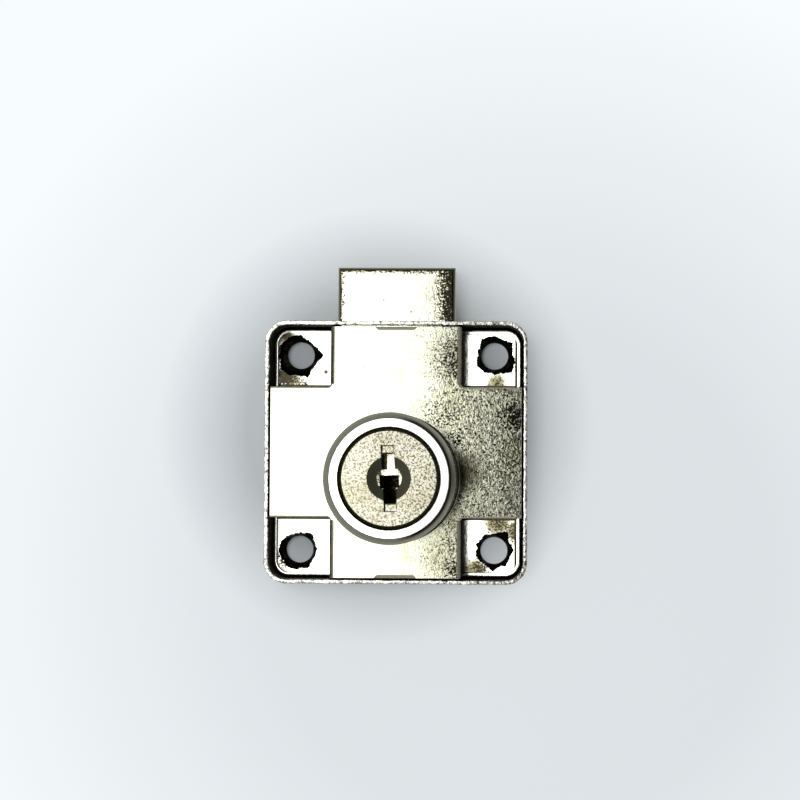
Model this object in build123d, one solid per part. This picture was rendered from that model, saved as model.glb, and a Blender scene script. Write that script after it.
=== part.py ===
from build123d import *
import math
import os

# Drawer lock with a square sliding bolt, lying on its back.
# Millimetres. The origin is on the barrel's axis at the back face of the pressed case.
# +Z is the barrel's axis towards the front, +Y is the way the bolt comes out, +X is to the right.

# Case: a square pressed steel tray
plate_size = 40.0
plate_corner_radius = 3.3
barrel_to_bolt_edge = 24.0
sheet = 0.6
rim_height = 7.4
case_bend_radius = 0.9
window_strip = 0.9
rim_burr = 0.12

# Screw holes, pierced from the back so that the metal tears into a low lip at the front
hole_spacing = 30.0
hole_radius = 2.1
dimple_radius = 3.0
dimple_depth = 0.9
lip_height = 1.0
lip_taper = 18.0
lips = (
    {"corners": 4, "reach": 3.45, "turn": 8.0},
    {"corners": 6, "reach": 3.3, "turn": 37.0},
    {"corners": 5, "reach": 3.35, "turn": 52.0},
    {"corners": 6, "reach": 3.3, "turn": 55.0},
)

# Housing: a die-cast cross with the barrel on it
housing_gap = 0.25
arm_width = 20.0
housing_face = 7.8
front_wall = 1.3
arm_bevel = 0.6
arm_corner_radius = 0.4
casting_edge = 0.15
barrel_radius = 9.5
barrel_length = 22.0
barrel_chamfer = 0.85
barrel_root_bevel = 0.25
notch_width = 6.4
notch_slope = 0.5
notch_depth = 0.5
notch_drop = 0.4
core_width = 4.6
core_length = 5.2
post_radius = 1.5
post_spacing = 29.0
post_head_radius = 2.25
post_clearance = 0.03

# Bolt
bolt_width = 18.0
bolt_thickness = 5.55
bolt_throw = 8.3
bolt_edge_radius = 0.6
bolt_back_edge = 0.25
bolt_side_clearance = 0.15
bolt_face_clearance = 0.15
bolt_tail_wall = 2.6
tail_clearance = 2.1

# Drive pin of the plug, and its slot in the bolt
crank_radius = 3.65
drive_pin_radius = 1.7
slot_slack = 0.6
slot_end_clearance = 0.35
pin_tip_gap = 0.8

# Plug
face_recess = 0.15
plug_radius = 6.1
running_clearance = 0.06
head_radius = 7.27
head_clearance = 0.08
head_thickness = 1.8
head_chamfer = 0.45
head_seat_gap = 0.05
key_play = 3.3
stop_lug_angle = 30.0
stop_play = 3.0
stop_height = 0.75
turn_angle = 180.0

# Keyway
key_slot_width = 1.8
key_slot_height = 7.0
key_square_width = 2.7
key_square_height = 2.65
key_step_height = 9.4
key_step_depth = 0.5
key_depth = 18.6
dish_radius = 3.17
dish_floor_radius = 1.83
dish_depth = 0.9

# Wafers, and the coil springs that press them out of the plug
wafer_count = 7
first_wafer = 3.2
wafer_pitch = 2.1
wafer_thickness = 1.0
wafer_width = 5.6
wafer_half_length = 6.0
wafer_clearance = 0.05
wafer_travel = 0.9
window_width = 3.3
window_low = 3.7
window_top = 0.45
bitting_step = 0.35
bitting = (0, 2, 1, 3, 1, 2, 1)
ear_reach = 1.35
ear_height = 0.9
ear_low = -1.9
spring_length = 3.4
spring_outer = 1.2
spring_wire = 0.2
spring_turns = 5
spring_end_gap = 0.03
pocket_clearance = 0.1
groove_play = 0.5
groove_end_gap = 0.3

# Retainer: a sprung plate across the plug's rear end
retainer_height = 7.15
retainer_thickness = 1.0
retainer_width = 3.5
retainer_reach = 0.9
retainer_tail = 0.5
retainer_spring_length = 1.9
retainer_spring_outer = 0.9
retainer_spring_wire = 0.16
retainer_shoulder_gap = 0.15
rear_bore_clearance = 0.3

coil_sides = 4
coil_steps = 7

# Places worked out from the sizes above
plate_centre_y = barrel_to_bolt_edge - plate_size / 2
hole_places = [
    (x * hole_spacing / 2, plate_centre_y + y * hole_spacing / 2)
    for y in (1, -1)
    for x in (-1, 1)
]
cavity_top = housing_face - front_wall
arm_reach = plate_size / 2 - sheet - housing_gap
barrel_top = housing_face + barrel_length
plug_face = barrel_top - face_recess
head_back = plug_face - head_thickness
head_seat = head_back - head_seat_gap
bore_radius = plug_radius + running_clearance
head_bore_radius = head_radius + head_clearance
channel_width = bolt_width + 2 * bolt_side_clearance
bolt_bottom = sheet + bolt_face_clearance
bolt_top = bolt_bottom + bolt_thickness
slot_half_height = drive_pin_radius + slot_slack
slot_half_length = crank_radius + drive_pin_radius + slot_end_clearance
slot_centre_y = bolt_throw / 2
bolt_nose_y = barrel_to_bolt_edge + bolt_throw
bolt_tail_y = slot_centre_y - slot_half_height - bolt_tail_wall
cavity_tail_y = bolt_tail_y - bolt_throw - tail_clearance
plug_rear = cavity_top + head_seat_gap
wafer_slot_thickness = wafer_thickness + 2 * wafer_clearance
groove_half_width = wafer_width / 2 + groove_play
groove_floor = wafer_half_length + wafer_travel + groove_end_gap
groove_front = plug_face - first_wafer + wafer_clearance
retainer_top = retainer_height + retainer_thickness
retainer_end = plug_radius + retainer_reach
rear_bore_radius = retainer_end + rear_bore_clearance
rear_bore_top = retainer_top + retainer_shoulder_gap
spring_low = ear_low + ear_height
spring_centre_x = wafer_width / 2 + ear_reach / 2


def block(x0, x1, y0, y1, z0, z1):
    """A box between two corners."""
    middle = Pos((x0 + x1) / 2, (y0 + y1) / 2, (z0 + z1) / 2)
    return middle * Box(x1 - x0, y1 - y0, z1 - z0)


def disc(radius, z0, z1, x=0.0, y=0.0):
    """A round solid about a line along Z, between two heights."""
    return Pos(x, y, (z0 + z1) / 2) * Cylinder(radius, z1 - z0)


def cone(radius_low, radius_high, z0, z1, x=0.0, y=0.0):
    """A cone frustum about a line along Z, between two heights."""
    return Pos(x, y, (z0 + z1) / 2) * Cone(radius_low, radius_high, z1 - z0)


def rounded_block(width, length, corner, z0, z1, y=0.0):
    """An upright block on a rectangle with round corners."""
    outline = Pos(0, y, z0) * RectangleRounded(width, length, corner)
    return extrude(outline, z1 - z0)


def ring_sector(inner, outer, start, sweep_angle, z0, z1):
    """Part of a flat ring about the plug's axis, from an angle over a sweep, in degrees."""
    section = Plane.XZ * Pos((inner + outer) / 2, (z0 + z1) / 2) * Rectangle(outer - inner, z1 - z0)
    return Rot(0, 0, start) * revolve(section, Axis.Z, sweep_angle)


def with_key(shape):
    """The shape turned with the keyway, which stands a little to the left in its play."""
    return Rot(0, 0, key_play) * shape


def wafer_front(index):
    """Height of the front face of one wafer."""
    return plug_face - first_wafer - index * wafer_pitch


def ear_side(index):
    """The side that a wafer's spring lies on: they take turns, for room in the plug."""
    return 1 if index % 2 == 0 else -1


def coil(outer, wire, length):
    """A coil spring along +Z from the origin, wound in short straight runs."""
    radius = (outer - wire) / 2
    steps = spring_turns * coil_steps
    angles = [2 * math.pi * i / coil_steps for i in range(steps + 1)]
    rise = (length - wire) / steps
    points = [
        (radius * math.cos(a), radius * math.sin(a), wire / 2 + i * rise)
        for i, a in enumerate(angles)
    ]
    path = Polyline(*points)
    section = Plane(origin=path @ 0, z_dir=path % 0) * RegularPolygon(wire / 2, coil_sides)
    return sweep(section, path=path, transition=Transition.RIGHT)


def torn_lip(x, y, lip):
    """The low lip that the piercing tool leaves round a hole: a cut pyramid with a few torn corners."""
    outline = Pos(x, y, sheet) * Rot(0, 0, lip["turn"]) * RegularPolygon(lip["reach"], lip["corners"])
    return extrude(outline, lip_height, taper=lip_taper)


def make_back_case():
    """Pressed tray with a rim, a bolt window, four pierced holes and two post holes."""
    outside = rounded_block(plate_size, plate_size, plate_corner_radius, 0, rim_height, plate_centre_y)
    outside = fillet(outside.faces().sort_by(Axis.Z)[0].edges(), case_bend_radius)
    outside = chamfer(outside.faces().sort_by(Axis.Z)[-1].edges(), rim_burr)
    inner_size = plate_size - 2 * sheet
    inner_corner = plate_corner_radius - sheet
    inside = rounded_block(inner_size, inner_size, inner_corner, sheet, rim_height + sheet, plate_centre_y)
    inside = chamfer(inside.faces().sort_by(Axis.Z)[0].edges(), case_bend_radius - sheet)
    case = outside - inside
    for (x, y), lip in zip(hole_places, lips):
        case += torn_lip(x, y, lip)
    for x, y in hole_places:
        case -= disc(hole_radius, -sheet, sheet + lip_height + sheet, x, y)
        case -= cone(dimple_radius, hole_radius, 0, dimple_depth, x, y)
    half_window = channel_width / 2
    case -= block(
        -half_window, half_window,
        barrel_to_bolt_edge - 2 * sheet, barrel_to_bolt_edge + sheet,
        sheet, rim_height - window_strip,
    )
    for side in (-1, 1):
        case -= post(side, post_clearance)
    return case


def post(side, grow):
    """One of the two posts that are staked over behind the case, at its own size or grown."""
    x = side * post_spacing / 2
    shank = disc(post_radius + grow, 0, sheet + casting_edge, x, plate_centre_y)
    head = cone(post_head_radius + grow, post_radius + grow, 0, sheet - casting_edge, x, plate_centre_y)
    return shank + head


def arm_bevels():
    """The long bevels along the upright arm's front edges, beside the corner recesses."""
    half = arm_width / 2
    start = half + arm_corner_radius
    ends = [
        (plate_centre_y + start, barrel_to_bolt_edge),
        (plate_centre_y - plate_size / 2, plate_centre_y - start),
    ]
    cuts = []
    for low, high in ends:
        for side in (-1, 1):
            corner = Polyline(
                (side * half, housing_face),
                (side * (half - arm_bevel), housing_face),
                (side * half, housing_face - arm_bevel),
                close=True,
            )
            section = Plane.XZ.offset(-low) * make_face(corner)
            cuts.append(extrude(section, -(high - low)))
    return cuts


def end_notch(side):
    """The notch in the middle of an arm's end: it slopes down to the end and narrows inwards."""
    end_y = plate_centre_y + side * arm_reach
    wide = notch_width / 2
    narrow = wide - notch_slope
    outline = Polyline(
        (-wide, end_y),
        (-narrow, end_y - side * notch_depth),
        (narrow, end_y - side * notch_depth),
        (wide, end_y),
        close=True,
    )
    slope = Polyline(
        (end_y, housing_face),
        (end_y - side * notch_depth, housing_face),
        (end_y, housing_face - notch_drop),
        close=True,
    )
    room = extrude(Pos(0, 0, housing_face - notch_drop) * make_face(outline), notch_drop)
    wedge = Plane.YZ.offset(-wide) * make_face(slope)
    return room & extrude(wedge, notch_width)


def make_housing():
    """Die-cast cross with the barrel, the bolt's channel, the plug's bore and the wafer grooves."""
    half = arm_width / 2
    low_y = plate_centre_y - arm_reach
    high_y = plate_centre_y + arm_reach
    upright = block(-half, half, low_y, high_y, sheet, housing_face)
    across = block(-arm_reach, arm_reach, plate_centre_y - half, plate_centre_y + half, sheet, housing_face)
    cross = upright + across
    centre = Vector(0, plate_centre_y, cross.center().Z)
    inside_corners = cross.edges().filter_by(Axis.Z).sort_by_distance(centre)[:4]
    cross = fillet(inside_corners, arm_corner_radius)
    end_edges = cross.faces().sort_by(Axis.Z)[0].edges().sort_by_distance(centre)[-4:]
    cross = chamfer(end_edges, casting_edge)
    for cut in arm_bevels():
        cross -= cut
    for side in (-1, 1):
        cross -= end_notch(side)
    barrel = disc(barrel_radius, housing_face - front_wall / 2, barrel_top)
    barrel = chamfer(barrel.faces().sort_by(Axis.Z)[-1].edges(), barrel_chamfer)
    housing = cross + barrel
    root = housing.edges().filter_by(GeomType.CIRCLE)
    root = root.filter_by(lambda e: abs(e.center().Z - housing_face) < casting_edge)
    housing = chamfer(root, barrel_root_bevel)

    half_channel = channel_width / 2
    housing -= block(-half_channel, half_channel, cavity_tail_y, high_y + sheet, 0, cavity_top)
    housing -= disc(bore_radius, 0, barrel_top + sheet)
    housing -= disc(head_bore_radius, head_seat, barrel_top + sheet)
    housing -= disc(rear_bore_radius, cavity_top - sheet, rear_bore_top)
    housing -= block(
        -groove_half_width, groove_half_width, -groove_floor, groove_floor, cavity_top - sheet, groove_front,
    )
    housing -= ring_sector(
        plug_radius, head_bore_radius, -stop_lug_angle / 2 - stop_play,
        turn_angle + stop_lug_angle + 2 * stop_play, head_seat - stop_height, head_seat + sheet,
    )
    for side in (-1, 1):
        housing += post(side, 0)
        for end in (-1, 1):
            x = side * post_spacing / 2
            y = plate_centre_y + end * (arm_width / 2 - front_wall - core_length / 2)
            pocket = Pos(x, y, sheet) * Rectangle(core_width, core_length)
            housing -= extrude(pocket, cavity_top - sheet)
    return housing


def make_bolt():
    """Square bolt with softly rounded front edges and the cross slot that the drive pin works in."""
    half = bolt_width / 2
    bolt = block(-half, half, bolt_tail_y, bolt_nose_y, bolt_bottom, bolt_top)
    uprights = bolt.edges().filter_by(Axis.Z).group_by(Axis.Y)[-1]
    bolt = fillet(uprights, bolt_back_edge)
    bolt = fillet(bolt.faces().sort_by(Axis.Z)[-1].edges(), bolt_edge_radius)
    bolt = chamfer(bolt.faces().sort_by(Axis.Z)[0].edges(), bolt_back_edge)
    outline = Pos(0, slot_centre_y, bolt_bottom) * RectangleRounded(
        2 * slot_half_length, 2 * slot_half_height, drive_pin_radius
    )
    return bolt - extrude(outline, bolt_thickness)


def keyway():
    """Everything that is cut for the key: the through slot, its end steps, the square and the dish."""
    slot = block(
        -key_slot_width / 2, key_slot_width / 2, -key_slot_height / 2, key_slot_height / 2,
        plug_face - key_depth, plug_face + sheet,
    )
    square = block(
        -key_square_width / 2, key_square_width / 2, -key_square_height / 2, key_square_height / 2,
        plug_face - key_depth, plug_face + sheet,
    )
    steps = block(
        -key_slot_width / 2, key_slot_width / 2, -key_step_height / 2, key_step_height / 2,
        plug_face - key_step_depth, plug_face + sheet,
    )
    dish = cone(dish_floor_radius, dish_radius, plug_face - dish_depth, plug_face)
    return slot + square + steps + dish


def wafer_room(index):
    """The slot for one wafer, with the pocket beside it for the wafer's ear and its spring."""
    front = wafer_front(index) + wafer_clearance
    half_width = wafer_width / 2 + wafer_clearance
    slot = block(
        -half_width, half_width, -head_radius, head_radius, front - wafer_slot_thickness, front,
    )
    middle = wafer_front(index) - wafer_thickness / 2
    half_pocket = spring_outer / 2 + pocket_clearance
    x0, x1 = sorted((0, ear_side(index) * (wafer_width / 2 + ear_reach + pocket_clearance)))
    pocket = block(
        x0, x1, -head_radius, spring_low + spring_length, middle - half_pocket, middle + half_pocket,
    )
    return slot + pocket


def retainer_room():
    """The slot across the plug's rear end for the retainer and its spring."""
    low = retainer_height - wafer_clearance
    half = retainer_width / 2 + wafer_clearance
    inner = -retainer_tail - retainer_spring_length
    return block(inner, head_radius, -half, half, low, retainer_top + wafer_clearance)


def make_plug():
    """Cast plug with its head, stop lug, keyway, wafer slots and the eccentric drive pin."""
    plug = disc(plug_radius, plug_rear, head_back + head_seat_gap)
    head = disc(head_radius, head_back, plug_face)
    head = chamfer(head.faces().sort_by(Axis.Z)[-1].edges(), head_chamfer)
    plug += head
    lug_outer = head_radius - head_clearance
    plug += ring_sector(
        plug_radius - running_clearance, lug_outer, -stop_lug_angle / 2, stop_lug_angle,
        head_back - stop_height + 2 * head_seat_gap, head_back,
    )
    pin_tip = sheet + pin_tip_gap
    drive_pin = disc(drive_pin_radius, pin_tip, plug_rear, 0, crank_radius)
    drive_pin = chamfer(drive_pin.faces().sort_by(Axis.Z)[0].edges(), casting_edge)
    plug += drive_pin
    plug -= with_key(keyway())
    for index in range(wafer_count):
        plug -= with_key(wafer_room(index))
    plug -= with_key(retainer_room())
    return plug


def make_wafer(index):
    """Stamped wafer: round ends, a window for the key, and an ear for the spring."""
    back = wafer_front(index) - wafer_thickness
    circle = Circle(wafer_half_length)
    blank = circle & Rectangle(wafer_width, 2 * wafer_half_length)
    ear_x = ear_side(index) * spring_centre_x
    blank += Pos(ear_x, ear_low + ear_height / 2) * Rectangle(ear_reach, ear_height)
    top = window_top + bitting[index] * bitting_step
    window = Pos(0, (top - window_low) / 2) * Rectangle(window_width, top + window_low)
    return with_key(extrude(Pos(0, 0, back) * (blank - window), wafer_thickness))


def make_wafer_spring(index):
    """Coil spring between the plug and the ear of one wafer."""
    spring = coil(spring_outer, spring_wire, spring_length - 2 * spring_end_gap)
    x = ear_side(index) * spring_centre_x
    z = wafer_front(index) - wafer_thickness / 2
    return with_key(Pos(x, spring_low + spring_end_gap, z) * Rot(-90, 0, 0) * spring)


def make_plug_retainer():
    """Flat sprung plate whose end stands out of the plug behind the barrel's bore."""
    tip = Circle(retainer_end)
    strip = Pos((retainer_end - retainer_tail) / 2, 0) * Rectangle(retainer_end + retainer_tail, retainer_width)
    return with_key(extrude(Pos(0, 0, retainer_height) * (strip & tip), retainer_thickness))


def make_retainer_spring():
    """Coil spring behind the retainer."""
    spring = coil(retainer_spring_outer, retainer_spring_wire, retainer_spring_length - 2 * spring_end_gap)
    x = -retainer_tail - retainer_spring_length + spring_end_gap
    z = retainer_height + retainer_thickness / 2
    return with_key(Pos(x, 0, z) * Rot(0, 90, 0) * spring)


def make_all():
    """Every piece by its name."""
    pieces = {
        "back_case": make_back_case(),
        "housing": make_housing(),
        "bolt": make_bolt(),
        "plug": make_plug(),
        "plug_retainer": make_plug_retainer(),
        "retainer_spring": make_retainer_spring(),
    }
    for index in range(wafer_count):
        pieces[f"wafer_{index + 1}"] = make_wafer(index)
        pieces[f"wafer_spring_{index + 1}"] = make_wafer_spring(index)
    return pieces


os.makedirs("parts", exist_ok=True)
for name, piece in make_all().items():
    export_step(piece, f"parts/{name}.step")
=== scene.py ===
"""The looks of a drawer lock: a pressed tray, a cast body with its barrel, a square bolt and a wafer plug.

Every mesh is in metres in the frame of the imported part: +Z along the barrel towards its face, +Y the way
the bolt comes out. Each CAD node either keeps its place and gets a finish, or a finer piece stands for it.
"""

import logging
import math
from dataclasses import dataclass, replace
from enum import Enum
from typing import Any

import bmesh
import bpy
import numpy as np
from mathutils import Matrix, Vector


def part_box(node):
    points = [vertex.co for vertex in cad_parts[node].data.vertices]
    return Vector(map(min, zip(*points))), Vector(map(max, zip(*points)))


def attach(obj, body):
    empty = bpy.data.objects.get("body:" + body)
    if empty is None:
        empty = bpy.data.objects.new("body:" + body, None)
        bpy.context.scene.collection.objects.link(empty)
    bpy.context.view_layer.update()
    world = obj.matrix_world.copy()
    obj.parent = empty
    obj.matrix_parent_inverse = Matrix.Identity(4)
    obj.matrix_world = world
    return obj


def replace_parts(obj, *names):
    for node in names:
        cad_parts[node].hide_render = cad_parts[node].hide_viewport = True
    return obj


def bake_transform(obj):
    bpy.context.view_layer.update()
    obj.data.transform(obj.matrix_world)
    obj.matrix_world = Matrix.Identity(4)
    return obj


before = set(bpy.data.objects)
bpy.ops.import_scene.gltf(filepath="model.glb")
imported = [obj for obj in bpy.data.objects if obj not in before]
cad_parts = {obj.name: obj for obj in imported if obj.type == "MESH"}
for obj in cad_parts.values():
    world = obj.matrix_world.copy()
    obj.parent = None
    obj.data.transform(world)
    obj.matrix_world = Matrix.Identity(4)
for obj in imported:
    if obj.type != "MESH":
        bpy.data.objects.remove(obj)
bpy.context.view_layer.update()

log = logging.getLogger("drawer_lock")

Array = np.ndarray
Socket = bpy.types.NodeSocket
Material = bpy.types.Material
Object = bpy.types.Object
Colour = tuple[float, float, float]
Point = tuple[float, float, float]
Pair = tuple[float, float]
Layers = tuple[tuple[float, int], ...]

MM = 0.001

# Turns between two faces: up to the first they are one, from the second their edge is sharp, and from the
# third the tray's is.
FLAT, SHARP, BENT = math.radians(0.4), math.radians(24.0), math.radians(50.0)
# How far a surface faces up: below the first it is a wall, and from the second to the third it gets level.
WALL, SLOPED, LEVEL = 0.5, 0.85, 0.95
# How far the keyway leans, and how close two points are that become one.
KEY_TURN, MERGED = math.radians(3.3), 0.002 * MM
# The heights of the tray's floor and of the bolt's, the casting's and the plug's faces.
FLOOR, BOLT_FACE, FACE, PLUG_FACE = 0.6 * MM, 6.3 * MM, 7.8 * MM, 29.65 * MM

# UMBER is the dark that dots and a plain dark mix in, for real dirt and for painted shade.
NICKEL, OLIVE, UMBER = (0.84, 0.84, 0.65), (0.46, 0.44, 0.26), (0.022, 0.018, 0.010)
# The near-black colours of painted shade.
SHADE_BLACK, DEEP_SHADE_BLACK = (0.03, 0.027, 0.018), (0.02, 0.018, 0.012)


class Axis(Enum):
    """An axis of the part's frame, under the name that the shader nodes use."""

    X = "X"
    Y = "Y"
    Z = "Z"


class SpringRun(Enum):
    """The way a spring lies in the plug, as a unit vector that leans with the keyway."""

    UPWARD = (-math.sin(KEY_TURN), math.cos(KEY_TURN), 0.0)
    SIDEWAYS = (math.cos(KEY_TURN), math.sin(KEY_TURN), 0.0)


class Corner(Enum):
    """A screw hole of the tray: its side of the axis, its end of the plate, and the torn tips of its lip.

    Each tip is the way it points, in degrees from +X, and its reach from the hole's centre in millimetres.
    """

    LEFT_TOP = (-1, 1, (
        (1, 3.45), (19, 2.9), (67, 2.75), (95, 3.3), (125, 3.5), (154, 3.7), (180, 3.5),
        (213, 3.9), (240, 3.5), (256, 3.1), (286, 3.5), (315, 2.65), (345, 2.8)))
    RIGHT_TOP = (1, 1, (
        (3, 2.9), (38, 3.45), (62, 3.0), (89, 3.2), (127, 3.5), (169, 2.7),
        (208, 3.15), (237, 2.95), (270, 2.75), (298, 3.0), (318, 3.65), (340, 3.35)))
    LEFT_BOTTOM = (-1, -1, (
        (0, 2.6), (51, 3.0), (78, 2.7), (103, 2.7), (135, 2.8), (157, 3.3), (180, 3.35),
        (205, 3.35), (230, 3.4), (255, 3.4), (270, 2.9), (291, 3.25), (325, 2.6)))
    RIGHT_BOTTOM = (1, -1, (
        (2, 3.15), (37, 2.75), (50, 3.45), (60, 3.4), (76, 2.75), (119, 2.8), (149, 2.8),
        (159, 2.9), (200, 3.0), (239, 2.65), (267, 3.3), (288, 2.8), (310, 2.95), (347, 2.8)))


class ShaderGraph:
    """The node tree of a material or of the world, with short calls that add nodes and join them."""

    def __init__(self, owner: Material | bpy.types.World) -> None:
        """Start an empty tree.

        Args:
            owner: the material or the world that the tree belongs to.
        """
        self.owner = owner
        owner.use_nodes = True
        self.tree = owner.node_tree
        self.tree.nodes.clear()

    def add(self, kind: str, inputs: dict[Any, Any] | None = None, **settings: Any) -> bpy.types.Node:
        """Add one node.

        Args:
            kind: the node's type, without the words ShaderNode.
            inputs: what goes into its sockets: a number, a colour, a vector or another node's output.
            settings: the node's own options.

        Returns:
            The new node.
        """
        node = self.tree.nodes.new(f"ShaderNode{kind}")
        for key, value in settings.items():
            setattr(node, key, value)
        for key, value in (inputs or {}).items():
            socket = node.inputs[key]
            if isinstance(value, Socket):
                self.tree.links.new(value, socket)
            else:
                socket.default_value = (*value, 1.0) if socket.type == "RGBA" else value
        return node

    def object_place(self) -> Socket:
        """The point on the piece, in the part's own frame."""
        return self.add("TexCoord").outputs["Object"]

    def part(self, vector: Socket, axis: Axis) -> Socket:
        """The part of a vector along one axis."""
        return self.add("SeparateXYZ", {0: vector}).outputs[axis.value]

    def upright(self) -> Socket:
        """How far the surface faces up: 1 for a level face and 0 for a wall."""
        return self.part(self.add("TexCoord").outputs["Normal"], Axis.Z)

    def level(self) -> Socket:
        """1 where the surface is about level, and 0 where it slopes or stands."""
        return self.ramp(self.upright(), SLOPED, LEVEL)

    def scratches(self, place: Socket, width: float, length: float, turns: tuple[float, ...]) -> Socket:
        """Short fine marks in a few directions, each a cloudy pattern drawn out along the mark.

        Args:
            place: the point that the pattern is read at.
            width: the width of a mark, in metres.
            length: its length.
            turns: the directions, in degrees from +Y.

        Returns:
            The strongest of the patterns, from 0 to 1.
        """
        layers = []
        for turn in turns:
            angle = math.radians(turn)
            turned = self.add("VectorRotate", {"Vector": place, "Angle": angle}, rotation_type="Z_AXIS")
            drawn = self.add("Mapping", {"Vector": turned.outputs[0], "Scale": (1.0, width / length, 1.0)})
            layers.append(self.noise(drawn.outputs[0], width, detail=1.0))
        strongest = layers[0]
        for layer in layers[1:]:
            strongest = self.math("MAXIMUM", strongest, layer)
        return strongest

    def distance(self, place: Socket, centre: Point | Pair) -> Socket:
        """How far the point is from a place, in metres."""
        inputs = {0: place, 1: (*centre, 0.0)[:3]}
        return self.add("VectorMath", inputs, operation="DISTANCE").outputs["Value"]

    def noise(self, place: Socket, size: float, detail: float, roughness: float = 0.5) -> Socket:
        """A cloudy pattern from 0 to 1.

        Args:
            place: the point that the pattern is read at.
            size: the size of its largest features, in metres.
            detail: how many finer layers lie on it.
            roughness: how strong each finer layer is beside the one before.

        Returns:
            The pattern's value.
        """
        inputs = {"Vector": place, "Scale": 1.0 / size, "Detail": detail, "Roughness": roughness}
        return self.add("TexNoise", inputs).outputs["Fac"]

    def ramp(self, value: Socket, low: float, high: float, first: float = 0.0, last: float = 1.0) -> Socket:
        """The value stretched from one span to another and held at its ends.

        Args:
            value: what is stretched.
            low: where the span starts.
            high: where it ends.
            first: what the start becomes.
            last: what the end becomes.

        Returns:
            The stretched value.
        """
        inputs = {"Value": value, "From Min": low, "From Max": high, "To Min": first, "To Max": last}
        return self.add("MapRange", inputs).outputs["Result"]

    def math(self, operation: str, a: Any, b: Any) -> Socket:
        """The result of one sum on two values."""
        return self.add("Math", {0: a, 1: b}, operation=operation).outputs[0]

    def mix(self, share: Any, a: Any, b: Any) -> Socket:
        """The first colour, with as much of the second over it as the share says."""
        return self.add("Mix", {0: share, 6: a, 7: b}, data_type="RGBA").outputs[2]

    def bump(self, height: Socket, depth: float) -> Socket:
        """The surface's normal, tilted by a height pattern whose full range stands as high as the depth."""
        return self.add("Bump", {"Height": height, "Distance": depth, "Strength": 1.0}).outputs["Normal"]

    def finish(self, shader: Socket) -> Material:
        """Join the last shader to the material's output, and give the material back."""
        self.add("OutputMaterial", {"Surface": shader})
        return self.owner


@dataclass(frozen=True)
class RoundStainAndShade:
    """A round change of a metal's level faces: full in its core and gone at its reach from a place."""

    place: Point
    reach: float
    share: float = 1.0
    core: float = 0.2

    def strength(self, graph: ShaderGraph, place: Socket) -> Socket:
        """How strong the change is at a point."""
        span = (self.reach, self.core * self.reach, 0.0, self.share)
        return graph.math("MULTIPLY", graph.ramp(graph.distance(place, self.place), *span), graph.level())


@dataclass(frozen=True)
class Band:
    """A change of a metal along one axis of the part's frame, from where it starts to where it is full.

    It shows on level faces alone, or on walls too where `walls` is set.
    """

    axis: Axis
    start: float
    full: float
    share: float = 1.0
    walls: bool = False

    def strength(self, graph: ShaderGraph, place: Socket) -> Socket:
        """How strong the change is at a point."""
        strength = graph.ramp(graph.part(place, self.axis), self.start, self.full, 0.0, self.share)
        return strength if self.walls else graph.math("MULTIPLY", strength, graph.level())


@dataclass(frozen=True)
class ShadePatch:
    """A change of the level faces within a straight-sided area seen from above, with a soft border."""

    low: Pair
    high: Pair
    soft: float = 0.06 * MM

    def strength(self, graph: ShaderGraph, place: Socket) -> Socket:
        """How strong the change is at a point: the product of a ramp at each of the four sides.

        Args:
            graph: the material's tree.
            place: the point on the piece.

        Returns:
            The strength, from 0 to 1.
        """
        strength = graph.level()
        for axis, low, high in zip((Axis.X, Axis.Y), self.low, self.high):
            along = graph.part(place, axis)
            for side, inside in ((low, low + self.soft), (high, high - self.soft)):
                strength = graph.math("MULTIPLY", strength, graph.ramp(along, side, inside))
        return strength


@dataclass(frozen=True)
class Ring:
    """A change along a circle round the part's own axis, on the side in X that the fade rises to."""

    radius: float
    half_width: float
    fade: Pair
    core: float = 0.4

    def strength(self, graph: ShaderGraph, place: Socket) -> Socket:
        """How strong the change is at a point, by how far its distance from the axis is off the radius.

        Args:
            graph: the material's tree.
            place: the point on the piece.

        Returns:
            The strength, from 0 to 1.
        """
        flat = graph.add("VectorMath", {0: place, 1: (1.0, 1.0, 0.0)}, operation="MULTIPLY").outputs[0]
        reach = graph.add("VectorMath", {0: flat}, operation="LENGTH").outputs["Value"]
        off = graph.math("ABSOLUTE", graph.math("SUBTRACT", reach, self.radius), 0.0)
        near = graph.ramp(off, self.half_width, self.core * self.half_width)
        return graph.math("MULTIPLY", near, graph.ramp(graph.part(place, Axis.X), *self.fade))


Changes = tuple[RoundStainAndShade | Band | ShadePatch | Ring, ...]


def spots(height: float, *rows: tuple[float, float, float, float]) -> Changes:
    """Round spots at one height, for real stained spots and for painted shade, each a row of its place in X
    and Y and its reach, in mm, and its share.
    """
    return tuple(RoundStainAndShade((x * MM, y * MM, height), reach * MM, share) for x, y, reach, share in rows)


def patches(*rows: tuple[float, float, float, float]) -> Changes:
    """Areas of painted shade, each a row of its lowest X and Y and its highest X and Y, in mm."""
    return tuple(ShadePatch((x0 * MM, y0 * MM), (x1 * MM, y1 * MM)) for x0, y0, x1, y1 in rows)


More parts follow.
